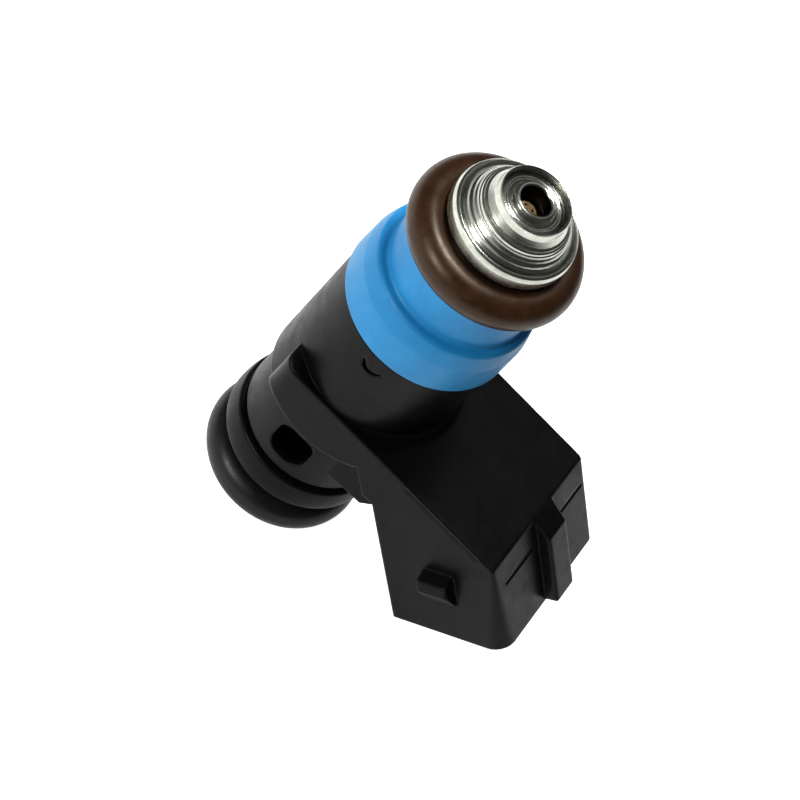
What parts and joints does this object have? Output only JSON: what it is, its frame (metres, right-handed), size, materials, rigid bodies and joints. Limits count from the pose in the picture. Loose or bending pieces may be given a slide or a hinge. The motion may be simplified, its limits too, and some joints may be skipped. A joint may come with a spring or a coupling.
{
  "type": "fuel injector",
  "caption": "Solenoid fuel injector: stepped metal nozzle tip, blue nozzle sleeve, sealing ring at each end and a side connector leaning out from a black moulded body.",
  "frame": {"origin": "centre of the orifice disc's outer face, where the fuel leaves", "axes": "+Z along the injector's axis, from the fuel inlet to the nozzle; +X on the side that the electrical connector leans out to; +Y completes a right-handed frame"},
  "size_m": [0.0325, 0.018, 0.0476],
  "materials": {
    "black_plastic": "satin, moulded",
    "blue_plastic": "satin, moulded",
    "brown_rubber": "satin",
    "black_rubber": "satin",
    "bright_steel": "turned, bright",
    "steel": "turned",
    "copper": "enamelled copper wire",
    "brass": "bright",
    "tinned": "tin plated",
    "spring_steel": "bright drawn",
    "bobbin_plastic": "moulded",
    "filter_plastic": "moulded",
    "mesh": "woven"
  },
  "bodies": {
    "injector_body": {"overmould_body": "black_plastic", "terminal_left": "tinned", "terminal_right": "tinned", "nozzle_shell": "blue_plastic", "nozzle_collar": "bright_steel", "lower_o_ring": "brown_rubber", "upper_o_ring": "black_rubber", "valve_body": "steel", "orifice_disc": "brass", "backup_washer": "steel", "valve_seat": "steel", "seat_o_ring": "black_rubber", "needle_guide": "bright_steel", "return_spring": "spring_steel", "valve_body_shell": "steel", "non_magnetic_shell": "bright_steel", "coil_bobbin": "bobbin_plastic", "coil_winding": "copper", "coil_housing": "steel", "flux_washer": "steel", "inlet_tube": "bright_steel", "adjusting_tube": "steel", "filter_frame": "filter_plastic", "filter_mesh": "mesh"},
    "valve_group": {"armature": "steel", "valve_needle": "steel", "valve_ball": "bright_steel"}
  },
  "joints": [
    {"name": "needle_lift", "type": "slide", "parent": "injector_body", "child": "valve_group", "axis": [0, 0, -1], "range_m": [0, 0.0002], "stiffness_N_per_m": 200, "springref_m": -0.004, "deforming": ["return_spring"]}
  ]
}
